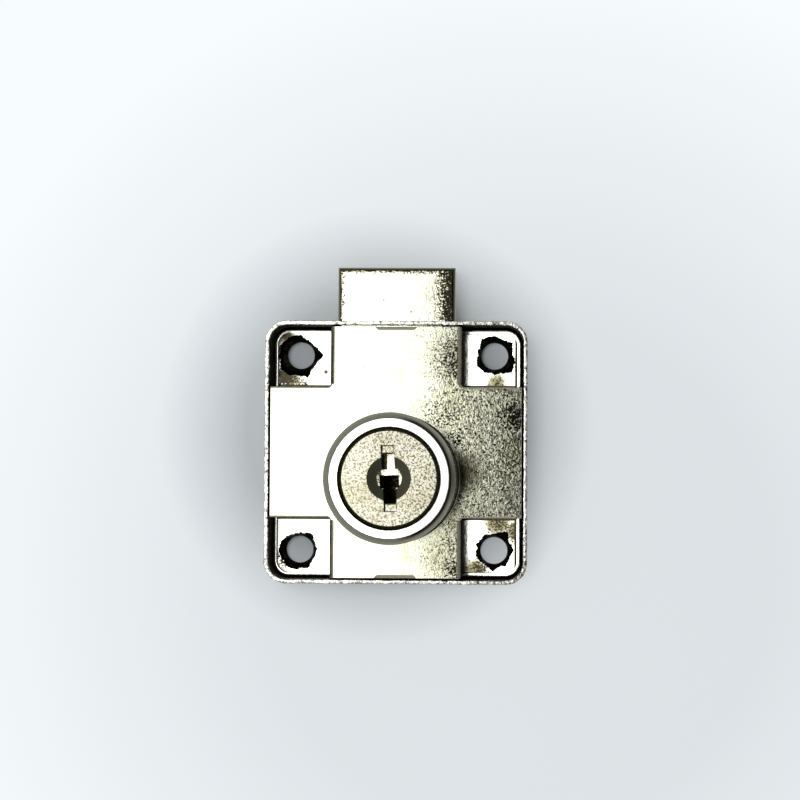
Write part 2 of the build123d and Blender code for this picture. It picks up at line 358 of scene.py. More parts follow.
@dataclass(frozen=True)
class MetalFinish:
    """A plated or bare metal with fine marks, speckles and patches of tarnish.

    Sizes are in metres. A low and a high, or a pair, is the span over which a pattern comes in. The
    tarnished colour shows in clouds and in listed areas, dark dots gather in others, and a plain dark lies
    over a third kind; these lists hold real stained and dirty spots, and painted shade where a finish's
    comment says so. The slope's and the flank's colours, where darker than the bright one, are painted shade.
    """

    name: str
    bright: Colour
    tarnished: Colour
    # Slope and flank are the colours of steeper and of standing faces: where darker than bright, painted
    # shade.
    slope: Colour
    flank: Colour
    smooth: float = 0.11
    rough: float = 0.23
    mark: float = 0.20 * MM
    mark_length: float = 0.85 * MM
    mark_depth: float = 0.004 * MM
    mark_low: float = 0.52
    mark_high: float = 0.66
    turns: tuple[float, ...] = (0.0, 28.0, -35.0)
    fleck: float = 0.35
    speck: float = 0.24 * MM
    speck_detail: float = 1.5
    patch: float = 5.0 * MM
    patch_detail: Pair = (3.0, 0.55)
    patch_low: float = 0.5
    patch_high: float = 0.72
    edge: Pair = (0.995, 0.95)
    steep: Pair = (0.55, 0.30)
    ragged_from: Pair = (1.0, 0.995)
    ragged_by: Pair = (-0.02, 0.015)
    dimmed: float = 0.3
    speck_pull: float = 0.45
    speck_span: Pair = (0.66, 0.72)
    speck_start: float = 0.05
    metallic: float = 1.0
    shine: float = 0.5
    spared: float = 0.4
    lean: Pair = (0.0, 0.0)
    lean_span: float = 10.0 * MM
    # The listed changes: real stained and dirty spots, and painted shade where a finish's comment says so.
    stains_and_shade: Changes = ()
    specks_and_shade: Changes = ()
    shade_and_spots: Changes = ()

    def spread(self, graph: ShaderGraph, place: Socket, changes: Changes) -> Any:
        """How strong the strongest of a few changes is at each point.

        Args:
            graph: the material's tree.
            place: the point on the piece.
            changes: the stains, bands, patches and rings.

        Returns:
            The largest share of any of them, from 0 to 1.
        """
        total: Any = 0.0
        for change in changes:
            total = graph.math("MAXIMUM", total, change.strength(graph, place))
        return total

    def material(self) -> Material:
        """Build the material.

        The colour goes from bright to tarnished, is darker between the marks, and becomes the slope's and
        then the flank's colour as the surface stands steeper, with a ragged border; where these are darker,
        that is painted shade. Dark dots and a plain dark then come in where the finish lists them, for real
        dirt and for painted shade. A mark is rougher than the ground beside it. The marks tilt the normal,
        which may lean in X.

        Returns:
            The material.
        """
        graph = ShaderGraph(bpy.data.materials.new(self.name))
        place = graph.object_place()
        marks = graph.scratches(place, self.mark, self.mark_length, self.turns)
        clear = graph.ramp(marks, self.mark_low, self.mark_high)
        cloud = graph.noise(place, self.patch, *self.patch_detail)
        patch = graph.ramp(cloud, self.patch_low, self.patch_high)
        tarnish_and_shade = graph.math("MAXIMUM", patch, self.spread(graph, place, self.stains_and_shade))
        tarnish_and_shade = graph.math("MULTIPLY", tarnish_and_shade, graph.ramp(clear, 0.0, 1.0, 1.0, self.spared))
        colour = graph.mix(tarnish_and_shade, self.bright, self.tarnished)
        dim = tuple(self.dimmed * part for part in self.tarnished)
        colour = graph.mix(graph.ramp(clear, 0.0, 1.0, self.fleck, 0.0), colour, dim)
        upright = graph.upright()
        shift = graph.math("MULTIPLY", graph.ramp(upright, *self.ragged_from),
                           graph.ramp(clear, 0.0, 1.0, *self.ragged_by))
        border = graph.math("ADD", upright, shift)
        # Painted shade where the slope's and flank's colours are darker than the bright one.
        colour = graph.mix(graph.ramp(border, *self.edge), colour, self.slope)
        colour = graph.mix(graph.ramp(upright, *self.steep), colour, self.flank)
        # Dark dots and then a plain dark, for real dirt and for painted shade as each finish lists.
        if self.specks_and_shade:
            crowd = self.spread(graph, place, self.specks_and_shade)
            pull = graph.math("MULTIPLY", crowd, self.speck_pull)
            cloud = graph.noise(place, self.speck, self.speck_detail)
            speck = graph.ramp(graph.math("ADD", cloud, pull), *self.speck_span)
            dark_dots_and_shade = graph.math("MULTIPLY", speck, graph.ramp(crowd, 0.0, self.speck_start))
            colour = graph.mix(dark_dots_and_shade, colour, UMBER)
        if self.shade_and_spots:
            colour = graph.mix(self.spread(graph, place, self.shade_and_spots), colour, UMBER)
        normal = graph.bump(marks, self.mark_depth)
        if any(self.lean):
            lean = graph.ramp(graph.part(place, Axis.X), -self.lean_span, self.lean_span, *self.lean)
            lean = graph.add("CombineXYZ", {"X": lean}).outputs[0]
            normal = graph.add("VectorMath", {0: normal, 1: lean}, operation="ADD").outputs[0]
            normal = graph.add("VectorMath", {0: normal}, operation="NORMALIZE").outputs[0]
        shader = graph.add("BsdfPrincipled", {
            "Base Color": colour,
            "Metallic": self.metallic,
            "Specular IOR Level": self.shine,
            "Roughness": graph.ramp(clear, 0.0, 1.0, self.smooth, self.rough),
            "Normal": normal,
        })
        return graph.finish(shader.outputs[0])


@dataclass(frozen=True)
class PaperFinish:
    """Pale, matt and slightly blue paper with a painted glow that grows away from the lock, so that it is
    paler there, also in what reflects it.
    """

    name: str = "studio_paper"
    colour: Colour = (0.72, 0.77, 0.795)
    glow: Colour = (0.93, 0.97, 1.0)
    roughness: float = 0.9
    fibre: float = 0.7 * MM
    fibre_detail: Pair = (4.0, 0.6)
    fibre_depth: float = 0.01 * MM
    near_centre: Pair = (-3.5 * MM, 8.0 * MM)
    near_span: Pair = (20.0 * MM, 34.0 * MM)
    near_share: float = 0.60
    far_centre: Pair = (18.0 * MM, -14.0 * MM)
    far_span: Pair = (40.0 * MM, 96.0 * MM)
    far_share: float = 0.40

    def material(self) -> Material:
        """Build the material: a matt colour, with a share of painted glow that grows away from the lock.

        Returns:
            The material.
        """
        graph = ShaderGraph(bpy.data.materials.new(self.name))
        place = graph.object_place()
        fibre = graph.noise(place, self.fibre, *self.fibre_detail)
        matt = graph.add("BsdfPrincipled", {
            "Base Color": self.colour,
            "Roughness": self.roughness,
            "Normal": graph.bump(fibre, self.fibre_depth),
        })
        glow = graph.add("Emission", {"Color": self.glow, "Strength": 1.0})
        path = graph.add("LightPath")
        seen = graph.math("MAXIMUM", path.outputs["Is Camera Ray"], path.outputs["Is Glossy Ray"])
        seen = graph.math("MAXIMUM", seen, path.outputs["Is Transmission Ray"])
        # Painted light: the glow's share rises away from two centres, so the paper round the lock is darker,
        # partly as its real shadow and partly as painted shade.
        near = graph.ramp(graph.distance(place, self.near_centre), *self.near_span, 0.0, self.near_share)
        far = graph.ramp(graph.distance(place, self.far_centre), *self.far_span, 0.0, self.far_share)
        share = graph.math("MULTIPLY", seen, graph.math("ADD", near, far))
        both = graph.add("MixShader", {0: share, 1: matt.outputs[0], 2: glow.outputs[0]})
        return graph.finish(both.outputs[0])


@dataclass(frozen=True)
class PlainFinish:
    """One even colour with no shine, for the dark board that the metal reflects."""

    name: str
    colour: Colour

    def material(self) -> Material:
        """Build the material: a matt colour alone."""
        graph = ShaderGraph(bpy.data.materials.new(self.name))
        return graph.finish(graph.add("BsdfDiffuse", {"Color": self.colour}).outputs[0])


CAST_NICKEL = MetalFinish(
    "cast_nickel", bright=NICKEL, tarnished=OLIVE, slope=(0.68, 0.66, 0.49), flank=(0.62, 0.60, 0.48),
    turns=(0.0, 25.0, -20.0), patch_high=0.78, mark=0.17 * MM,
    # Stained spots: the last one, right of the barrel, is painted shadow of the barrel on the face; the rest
    # are real tarnish.
    stains_and_shade=spots(
        FACE, (8.5, 11.5, 3.5, 0.7), (7.0, -11.5, 4.0, 0.8), (18.5, 4.0, 3.5, 0.9), (10.6, 1.2, 4.0, 1.0)),
    # Dark dots: the band in X thickens them towards the right as painted shade; the spots gather more of them
    # in a few places.
    specks_and_shade=(Band(Axis.X, 2.6 * MM, 9.0 * MM, 0.24), *spots(
        FACE, (18.6, 9.5, 4.5, 0.6), (9.2, 6.3, 2.4, 0.5), (9.6, 18.0, 6.0, 0.55), (9.6, -14.0, 4.0, 0.5),
        (7.5, 9.5, 5.0, 0.36))),
    # Plain dark: the band in X darkens the face to the right and the spot at (10.1, 0.9) is the barrel's
    # shadow, both painted shade; the spot at (10.0, 19.0) darkens the upper right; the two smallest spots are
    # real dark dots.
    shade_and_spots=(Band(Axis.X, 6.0 * MM, 12.0 * MM, 0.16), *spots(
        FACE, (10.1, 0.9, 4.3, 0.86), (10.0, 19.0, 6.0, 0.5), (-4.8, 17.0, 0.22, 0.8),
        (-4.3, 11.7, 0.30, 0.5))),
)
# Painted shade: the dark slope colour of the chamfer, the band that darkens the barrel's far right and the
# ring that darkens the chamfer's inner edge on the right.
TURNED_NICKEL = MetalFinish(
    "turned_nickel", bright=(0.92, 0.91, 0.88), tarnished=(0.80, 0.78, 0.70), slope=(0.235, 0.23, 0.178),
    flank=(0.62, 0.60, 0.48), smooth=0.20, rough=0.26, mark_depth=0.001 * MM, fleck=0.08,
    shade_and_spots=(Band(Axis.X, 8.5 * MM, 9.3 * MM, 0.65, walls=True),
            Ring(8.74 * MM, 0.30 * MM, fade=(1.0 * MM, 3.5 * MM))),
)
# Painted shade: the dark slope colour on the eased edges, and the bands that darken the face towards its
# right, left and nose edges in dots and in a plain dark; the two small spots are real dark dots.
BOLT_NICKEL = MetalFinish(
    "bolt_nickel", bright=NICKEL, tarnished=(0.52, 0.50, 0.38), slope=(0.20, 0.19, 0.135),
    flank=(0.60, 0.58, 0.46), edge=(0.9995, 0.98),
    specks_and_shade=(Band(Axis.X, 5.0 * MM, 7.8 * MM, 0.75), Band(Axis.X, -7.6 * MM, -8.8 * MM, 0.75),
            Band(Axis.Y, 31.0 * MM, 32.0 * MM, 0.75)),
    shade_and_spots=(Band(Axis.X, 7.0 * MM, 8.7 * MM, 0.85), Band(Axis.X, -8.2 * MM, -8.8 * MM, 0.6),
            Band(Axis.Y, 31.4 * MM, 32.0 * MM, 0.6),
            *spots(BOLT_FACE, (-2.0, 27.3, 0.26, 0.9), (2.2, 25.5, 0.26, 0.9))),
)
PRESSED_NICKEL = MetalFinish(
    "pressed_nickel", bright=(0.90, 0.89, 0.80), tarnished=(0.125, 0.117, 0.066), slope=(0.85, 0.84, 0.74),
    flank=(0.62, 0.60, 0.50), smooth=0.12, rough=0.20, mark_depth=0.002 * MM, fleck=0.2,
    patch=3.0 * MM, patch_low=0.72, lean=(-0.036, -0.075), spared=0.80,
    stains_and_shade=spots(
        FLOOR, (-16.2, 15.0, 3.0, 1.0), (15.3, 14.9, 2.8, 1.3), (15.6, -6.6, 3.4, 1.5),
        (12.2, -14.0, 2.8, 1.4), (18.2, -8.0, 2.6, 1.4)),
    specks_and_shade=spots(
        FLOOR, (15.8, -7.2, 2.8, 0.5), (18.2, -8.2, 2.2, 0.5), (-17.4, 15.8, 3.2, 0.8),
        (-15.0, 14.4, 2.2, 0.45), (-18.0, 19.5, 2.4, 0.8), (15.5, 14.6, 1.8, 0.5), (12.8, -13.8, 2.2, 0.6),
        (-17.5, -12.5, 2.0, 0.6), (12.0, 22.6, 1.8, 0.35), (18.6, 17.0, 2.2, 0.35)),
    # Painted shade: the area that darkens the floor along the foot of the casting, the line inside the right
    # bends and the three larger spots in the left corners beside the lips; the small spot at (-11.2, 16.5) is
    # a real dark dot.
    shade_and_spots=(
        ShadePatch((-19.5 * MM, -6.42 * MM), (19.5 * MM, 14.52 * MM), 0.07 * MM),
        *patches((18.10, -20.0, 20.0, 25.0)),
        *spots(FLOOR, (-11.2, 16.5, 0.75, 1.0), (-17.2, 21.9, 3.0, 1.0), (-17.4, 16.4, 2.6, 1.0),
               (-17.6, -14.2, 1.2, 0.6))),
)
# Painted shade: a near-black matt finish for the tray's inner walls and the casting's walls and root, which
# lie in shade.
SHADED_NICKEL = MetalFinish(
    "shaded_nickel", bright=SHADE_BLACK, tarnished=(0.018, 0.016, 0.01), slope=SHADE_BLACK, flank=DEEP_SHADE_BLACK, smooth=0.5,
    rough=0.7, mark_depth=0.002 * MM, patch=3.0 * MM, metallic=0.0, shine=0.05,
)
# Painted shade: the steeper part of each bend takes the near-black slope and flank colours.
BENT_NICKEL = replace(
    PRESSED_NICKEL, name="bent_nickel", slope=SHADE_BLACK, flank=DEEP_SHADE_BLACK, edge=(0.965, 0.93), lean=(-0.12, -0.10),
    fleck=0.0, stains_and_shade=(), specks_and_shade=(), shade_and_spots=(),
)
SHEARED_NICKEL = MetalFinish(
    "sheared_nickel", bright=(0.92, 0.90, 0.84), tarnished=(0.10, 0.09, 0.05), slope=(0.34, 0.33, 0.25),
    flank=(0.40, 0.38, 0.30), smooth=0.20, rough=0.36, patch=0.7 * MM, patch_low=0.53, patch_high=0.60,
    edge=(0.93, 0.86), fleck=0.45,
)
# Painted shade: the torn lips are near-black for the dark they show, not for a colour of the metal.
TORN_METAL_SHADED = MetalFinish(
    "torn_metal_shaded", bright=(0.05, 0.045, 0.035), tarnished=(0.02, 0.018, 0.014), slope=(0.03, 0.027, 0.02),
    flank=(0.02, 0.018, 0.014), smooth=0.3, rough=0.5, patch=1.0 * MM,
)
# Painted shade: the dark slope and flank colours of the dish and keyway, the band in Z that blackens the
# keyway below its face, and the areas along the left and top edges of the keyway's squares and slot. The
# faint large spot darkens the face towards the top; the stained spots and the faint dot spot are real.
SATIN_NICKEL = MetalFinish(
    "satin_nickel", bright=(0.82, 0.80, 0.68), tarnished=(0.48, 0.43, 0.24), slope=(0.10, 0.10, 0.065),
    flank=(0.045, 0.045, 0.028), smooth=0.15, rough=0.38, mark=0.30 * MM, mark_length=0.30 * MM, fleck=1.0,
    turns=(0.0, 60.0), mark_depth=0.003 * MM, mark_low=0.47, mark_high=0.62, patch_low=0.46,
    stains_and_shade=spots(PLUG_FACE, (3.6, -3.6, 2.4, 0.7), (5.8, 1.0, 2.6, 0.6)),
    specks_and_shade=(Band(Axis.Z, 27.6 * MM, 26.8 * MM, walls=True), *spots(PLUG_FACE, (-0.8, 5.0, 3.0, 0.12))),
    shade_and_spots=(*spots(PLUG_FACE, (0.5, 6.4, 5.0, 0.14)), *patches(
        (-1.2, 2.6, -0.92, 4.8), (-1.1, 3.4, 0.7, 3.74), (-0.9, 4.62, 0.66, 4.8),
        (-0.72, -4.8, -0.44, -3.2), (-0.6, -3.76, 1.05, -3.4), (-0.6, -4.8, 0.9, -4.62))),
)
# Painted shade: the band that blackens each wafer's lower half, deep in the keyway, and the area that stands
# for the shadow of the slot's left wall on the wafer.
WAFER_BRASS = MetalFinish(
    "wafer_brass", bright=(0.88, 0.84, 0.66), tarnished=(0.70, 0.58, 0.34), slope=(0.7, 0.6, 0.4),
    flank=(0.45, 0.37, 0.20), smooth=0.2, rough=0.35, mark_depth=0.002 * MM, fleck=0.1,
    specks_and_shade=(Band(Axis.Y, 0.65 * MM, 0.1 * MM, walls=True),), shade_and_spots=patches((-1.6, 1.25, -0.36, 3.6)),
)
SPRING_STEEL = MetalFinish(
    "spring_steel", bright=(0.58, 0.58, 0.59), tarnished=(0.38, 0.37, 0.36), slope=(0.5, 0.5, 0.5),
    flank=(0.5, 0.5, 0.5), smooth=0.2, rough=0.35, mark=0.05 * MM, mark_length=0.05 * MM,
    mark_depth=0.0005 * MM, fleck=0.1,
)


def loop_faces(rows: int, columns: int, closed: bool = True) -> Array:
    """Four-sided faces over rows of points that are numbered row by row, where each row is a loop.

    Args:
        rows: how many rows of points there are.
        columns: how many points each row has.
        closed: whether the last row joins the first.

    Returns:
        The corners of each face.
    """
    row = np.arange(rows if closed else rows - 1)[:, None]
    column = np.arange(columns)[None, :]
    next_row, next_column = (row + 1) % rows, (column + 1) % columns
    corners = (row * columns + column, row * columns + next_column,
               next_row * columns + next_column, next_row * columns + column)
    return np.stack(np.broadcast_arrays(*corners), axis=-1).reshape(-1, 4)


def tube_faces(rows: int, columns: int) -> list[list[int]]:
    """The faces of a tube: those between its rows of points, and one across each end.

    Args:
        rows: how many rows of points there are.
        columns: how many points each row has.

    Returns:
        The corners of each face.
    """
    last = (rows - 1) * columns
    ends = [list(range(columns)), list(range(last, last + columns))]
    return loop_faces(rows, columns, closed=False).tolist() + ends


def mesh_points(mesh: bpy.types.Mesh) -> Array:
    """The points of a mesh.

    Args:
        mesh: the mesh.

    Returns:
        Its points, one row each.
    """
    points = np.empty(len(mesh.vertices) * 3)
    mesh.vertices.foreach_get("co", points)
    return points.reshape(-1, 3)


def shown(name: str, data: bpy.types.ID) -> Object:
    """A new object in the scene.

    Args:
        name: its name.
        data: its mesh, lamp or camera.

    Returns:
        The object.
    """
    item = bpy.data.objects.new(name, data)
    bpy.context.scene.collection.objects.link(item)
    return item


def made_piece(name: str, points: Array, faces: list[list[int]], finish: Material,
               crease: float = 35.0) -> Object:
    """A new mesh in the scene, closed, facing outwards and smooth up to a crease.

    Args:
        name: the piece's name.
        points: its points, one row each, in metres.
        faces: the corners of its faces.
        finish: its material.
        crease: the turn between two faces, in degrees, from which their edge stays sharp.

    Returns:
        The object.
    """
    mesh = bpy.data.meshes.new(name)
    mesh.from_pydata(points.tolist(), [], faces)
    solid = bmesh.new()
    solid.from_mesh(mesh)
    bmesh.ops.recalc_face_normals(solid, faces=solid.faces)
    solid.to_mesh(mesh)
    solid.free()
    mesh.shade_smooth()
    mesh.set_sharp_from_angle(angle=math.radians(crease))
    mesh.materials.append(finish)
    return shown(name, mesh)


def joined_mesh(node: str, name: str) -> tuple[bpy.types.Mesh, Array]:
    """A copy of a CAD node's mesh with its loose triangles joined into whole faces.

    Args:
        node: the CAD node.
        name: the copy's name.

    Returns:
        The copy and its points, one row each.
    """
    mesh = bpy.data.meshes.new(name)
    solid = bmesh.new()
    solid.from_mesh(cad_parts[node].data)
    bmesh.ops.remove_doubles(solid, verts=solid.verts, dist=MERGED)
    bmesh.ops.dissolve_limit(solid, angle_limit=FLAT, verts=solid.verts, edges=solid.edges)
    solid.to_mesh(mesh)
    solid.free()
    return mesh, mesh_points(mesh)


def eased_piece(mesh: bpy.types.Mesh, node: str, finish: Material, ease: float,
                sharp: float = SHARP) -> Object:
    """A piece made of a joined copy, with its sharp edges eased, that stands for the CAD node.

    Args:
        mesh: the joined copy, whose name the piece takes.
        node: the CAD node.
        finish: the piece's material.
        ease: how far each sharp edge is rounded, in metres.
        sharp: the turn between two faces from which their edge counts as sharp.

    Returns:
        The piece.
    """
    mesh.shade_smooth()
    mesh.set_sharp_from_angle(angle=sharp)
    mesh.materials.append(finish)
    piece = shown(mesh.name, mesh)
    if ease > 0:
        bevel = piece.modifiers.new("eased_edges", "BEVEL")
        bevel.width = ease
        bevel.segments = 2
        bevel.limit_method = "ANGLE"
        bevel.angle_limit = sharp
        bevel.use_clamp_overlap = False
    weighted = piece.modifiers.new("even_shading", "WEIGHTED_NORMAL")
    weighted.keep_sharp = True
    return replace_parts(piece, node)


def ragged(random: np.random.Generator, count: int, layers: Layers) -> Array:
    """Random heights round a closed edge: the sum of layers, each the mean of a few random draws beside it.

    Args:
        random: the source of the draws.
        count: how many heights there are.
        layers: how far each layer spreads, and how many neighbours it is averaged over.

    Returns:
        The heights.
    """
    total = np.zeros(count)
    for spread, reach in layers:
        draws = random.normal(size=count)
        window = np.zeros(count)
        window[:reach] = np.hanning(reach + 2)[1:-1]
        heights = np.fft.ifft(np.fft.fft(draws) * np.fft.fft(window)).real
        total += spread * ((heights - heights.mean()) / heights.std())
    return total


# The rough rim's section, point by point, in mm: the depth inside the outline, the height over the wall's
# top, and how far random heights move the point inwards and up.
RIM_SECTION = np.array([
    (0.30, -0.50, 0.00, 0.000),
    (-0.02, -0.45, 0.01, 0.000),
    (-0.02, -0.30, 0.02, 0.020),
    (0.00, -0.12, 0.03, 0.010),
    (0.07, 0.00, 0.03, 0.006),
    (0.30, 0.02, 0.02, 0.005),
    (0.52, 0.00, 0.03, 0.006),
    (0.58, -0.10, 0.03, 0.015),
    (0.62, -0.40, 0.01, 0.000),
    (0.35, -0.50, 0.00, 0.000),
]) * MM

# The way over a torn lip, point by point: the shares of the hole, the crest and the foot in the radius and
# what is added in mm, then the share of the lip's rise in the height over the floor and what is added in mm.
# The slope's row is torn as well.
LIP_SECTION = np.array([
    (1.0, 0.0, 0.0, 0.00, 0.00, -0.30),
    (1.0, 0.0, 0.0, 0.00, 0.60, 0.00),
    (0.0, 1.0, 0.0, -0.02, 1.00, 0.00),
    (0.0, 1.0, 0.0, 0.08, 0.96, 0.00),
    (0.0, 0.5, 0.5, 0.00, 0.50, 0.00),
    (0.0, 0.0, 1.0, 0.00, 0.00, 0.03),
    (0.0, 0.0, 1.0, -0.10, 0.00, -0.20),
])
LIP_SLOPE = 4


@dataclass
class Tray:
    """The pressed tray: its walls and floor, the rough sheared rim and the torn lips round its holes.

    Lengths are in metres. The layers say how rough an edge is, and the shares are parts of a height or a way.
    """

    sheet: float = FLOOR
    corner_radius: float = 3.3 * MM
    arm_half: float = 9.4 * MM
    rim_step: float = 0.1 * MM
    rim_shift: Layers = ((0.6, 9), (0.5, 3))
    rim_lift: Layers = ((0.5, 13), (0.6, 4))
    rim_reach: float = 0.2 * MM
    rim_drop: float = 0.3 * MM
    hole_spacing: float = 30.0 * MM
    hole_radius: float = 2.1 * MM
    hole_lining: float = 0.03 * MM
    lip_reach: float = 3.5 * MM
    lip_height: float = 1.05 * MM
    lip_from: float = 0.02 * MM
    lip_share: float = 0.02
    lip_points: int = 220
    crest_gap: float = 0.06 * MM
    crest_share: float = 0.45
    crest_torn: Layers = ((0.03 * MM, 4),)
    foot_torn: Layers = ((0.05 * MM, 9), (0.05 * MM, 3))
    rise_share: float = 0.95
    rise_torn: Layers = ((0.08, 9),)
    slope_torn: Layers = ((0.04 * MM, 3),)
    bend_radius: float = 0.7 * MM
    bend_ledge: float = 0.18 * MM
    bend_bead: float = 0.12 * MM
    left_bead: float = 0.1
    bend_steps: int = 9
    seed: int = 11

    def __post_init__(self) -> None:
        """Read the tray's place from the frame."""
        self.low, self.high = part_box("back_case")
        self.half = (self.high.x - self.low.x) / 2
        self.centre_y = (self.high.y + self.low.y) / 2

    def hole(self, corner: Corner) -> Array:
        """The centre of one screw hole, from above."""
        side, end, _ = corner.value
        return np.array([side, end]) * self.hole_spacing / 2 + [0, self.centre_y]

    def outline(self) -> tuple[Array, Array]:
        """The rounded square that the wall follows, from above.

        Each side is a straight run and a quarter turn. A point at a distance d inside the outline is the
        returned centre plus (corner radius - d) times the returned unit vector.

        Returns:
            The centres and the outward unit vectors, one row each.
        """
        reach = self.half - self.corner_radius
        straight = 2 * reach
        steps = int(straight / self.rim_step)
        turns = int(self.corner_radius * math.pi / 2 / self.rim_step)
        along = np.concatenate([np.arange(steps) / steps, np.ones(turns)]) - 0.5
        angle = np.concatenate([np.zeros(steps), np.arange(turns) / turns * math.pi / 2])
        x, y = np.full(len(along), reach), along * straight
        centres, vectors = [], []
        for side in range(4):
            turn = side * math.pi / 2
            centres.append(np.stack([x * math.cos(turn) - y * math.sin(turn),
                                     x * math.sin(turn) + y * math.cos(turn)], axis=1))
            vectors.append(np.stack([np.cos(angle + turn), np.sin(angle + turn)], axis=1))
        return np.concatenate(centres), np.concatenate(vectors)

    def carried(self, centres: Array, vectors: Array, depth: Array, height: Array) -> Array:
        """The points of a section that is carried along the outline.

        Args:
            centres: the outline's centres.
            vectors: its outward unit vectors.
            depth: how far inside the outline each point of the section lies, everywhere or row by row.
            height: how high it lies.

        Returns:
            The points, section after section.
        """
        size = (len(centres), depth.shape[-1])
        inward = self.corner_radius - np.broadcast_to(depth, size)
        flat = centres[:, None, :] + inward[..., None] * vectors[:, None, :] + [0, self.centre_y]
        return np.concatenate([flat, np.broadcast_to(height, size)[..., None]], axis=2).reshape(-1, 3)

    def rim_edge(self, finish: Material) -> Object:
        """The strip of rough metal along the top of the wall, as the shears leave it.

        The rim's closed section is carried round the outline. Slow and quick random heights shift its points
        sideways and up, most at the section's corners.

        Args:
            finish: the strip's material.

        Returns:
            The piece.
        """
        random = np.random.default_rng(self.seed)
        centres, vectors = self.outline()
        count = len(centres)
        depth, height, sway, lift = RIM_SECTION.T
        shifts = np.stack([ragged(random, count, self.rim_shift) for _ in depth], axis=1)
        lifts = np.stack([ragged(random, count, self.rim_lift) for _ in depth], axis=1)
        points = self.carried(centres, vectors, depth + shifts * sway, self.high.z + height + lifts * lift)
        return made_piece("rim_edge", points, loop_faces(count, len(depth)).tolist(), finish, crease=25.0)

    def bend(self, corner: Corner, finish: Material) -> Object:
        """The rounded inside bend between the floor and the wall, along one corner of the tray.

        A quarter round from the wall, a narrow ledge and a slope down to the floor, closed by a point inside
        the sheet, are carried along the outline from one arm of the casting to the next. Its finish paints
        the steeper part near-black as painted shade.

        Args:
            corner: the corner, by its screw hole.
            finish: the bend's material.

        Returns:
            The piece.
        """
        side, end, _ = corner.value
        bead = self.bend_bead if side > 0 else self.left_bead * self.bend_bead
        centres, vectors = self.outline()
        along = centres + self.corner_radius * vectors
        kept = (side * along[:, 0] > self.arm_half) & (end * along[:, 1] > self.arm_half)
        centres, vectors, along = centres[kept], vectors[kept], along[kept]
        order = np.argsort(np.angle((along[:, 0] + 1j * along[:, 1]) / (side + 1j * end)))
        turn = np.linspace(0, math.pi / 2, self.bend_steps)
        depth = self.sheet + self.bend_radius * (1 - np.cos(turn))
        height = self.sheet + bead + self.bend_radius * (1 - np.sin(turn))
        foot = depth[-1] + self.bend_ledge
        depth = np.concatenate([depth, [foot, foot + bead, self.sheet / 2]])
        height = np.concatenate([height, [self.sheet + bead, self.sheet, self.sheet / 2]])
        points = self.carried(centres[order], vectors[order], depth, height)
        return made_piece(f"bend_{corner.name.lower()}", points, tube_faces(len(order), len(depth)), finish)

    def torn_lip(self, corner: Corner, finish: Material) -> Object:
        """The torn lip round one screw hole, a ragged cone whose foot has a few tips.

        On a grid of the angle round the hole and the way over the lip, from inside the hole over the top and
        down to the floor, the outer radius is where the line at that angle meets the straight side between
        the tips before and after it, and random draws tear the top and the foot.

        Args:
            corner: the hole.
            finish: the lip's material.

        Returns:
            The piece.
        """
        tips = corner.value[2]
        random = np.random.default_rng(self.seed + int(tips[0][1] * 100))
        count = self.lip_points
        angle = np.arange(count) / count * 2 * math.pi
        tip_angles = np.radians([tip[0] for tip in tips])
        tip_reach = np.array([tip[1] for tip in tips]) * MM
        tip_x, tip_y = tip_reach * np.cos(tip_angles), tip_reach * np.sin(tip_angles)
        last = np.searchsorted(tip_angles, angle) % len(tips)
        run_x, run_y = (tip_x - np.roll(tip_x, 1))[last], (tip_y - np.roll(tip_y, 1))[last]
        area = run_x * tip_y[last] - run_y * tip_x[last]
        outline = area / (run_x * np.sin(angle) - run_y * np.cos(angle))
        foot = outline + ragged(random, count, self.foot_torn)
        crest = self.hole_radius + self.crest_gap + self.crest_share * (outline - self.hole_radius)
        crest += ragged(random, count, self.crest_torn)
        rise = self.lip_height * (self.rise_share + ragged(random, count, self.rise_torn))
        bore = np.full(count, self.hole_radius - self.hole_lining)
        radius = LIP_SECTION[:, :3] @ np.stack([bore, crest, foot]) + LIP_SECTION[:, 3:4] * MM
        height = self.sheet + LIP_SECTION[:, 4:5] * rise + LIP_SECTION[:, 5:] * MM
        height[LIP_SLOPE] += ragged(random, count, self.slope_torn)
        x, y = self.hole(corner)
        points = np.stack([x + radius * np.cos(angle), y + radius * np.sin(angle), height], axis=2)
        points = points.reshape(-1, 3)
        faces = loop_faces(len(radius), count).tolist()
        return made_piece(f"torn_lip_{corner.name.lower()}", points, faces, finish, crease=40.0)

    def body(self, finish: Material) -> Object:
        """The tray itself, with its rim let down under the rough edge and its plain lips under the torn ones.

        Points near the top of the wall move down by a fixed step. Points above the floor that lie within the
        reach of a lip keep only a share of their height over the floor. The walls' inner faces take a
        near-black finish as painted shade.

        Args:
            finish: the tray's material.

        Returns:
            The piece.
        """
        mesh, points = joined_mesh("back_case", "tray")
        points[points[:, 2] > self.high.z - self.rim_reach, 2] -= self.rim_drop
        for corner in Corner:
            off = np.linalg.norm(points[:, :2] - self.hole(corner), axis=1)
            lip = (off < self.lip_reach) & (points[:, 2] > self.sheet + self.lip_from)
            points[lip, 2] = self.sheet + self.lip_share * (points[lip, 2] - self.sheet)
        mesh.vertices.foreach_set("co", points.ravel())
        piece = eased_piece(mesh, "back_case", finish, 0.0, BENT)
        # Painted shade on the inner wall faces.
        mesh.materials.append(SHADED_NICKEL.material())
        middle = Vector((0, self.centre_y, 0))
        for face in mesh.polygons:
            inward = (face.center - middle).xy.dot(face.normal.xy) < 0
            face.material_index = int(inward and abs(face.normal.z) < WALL and face.center.z > self.sheet)
        return piece

    def build(self) -> list[Object]:
        """Build and place every piece of the tray.

        Returns:
            The pieces.
        """
        tray = self.body(PRESSED_NICKEL.material())
        rim = self.rim_edge(SHEARED_NICKEL.material())
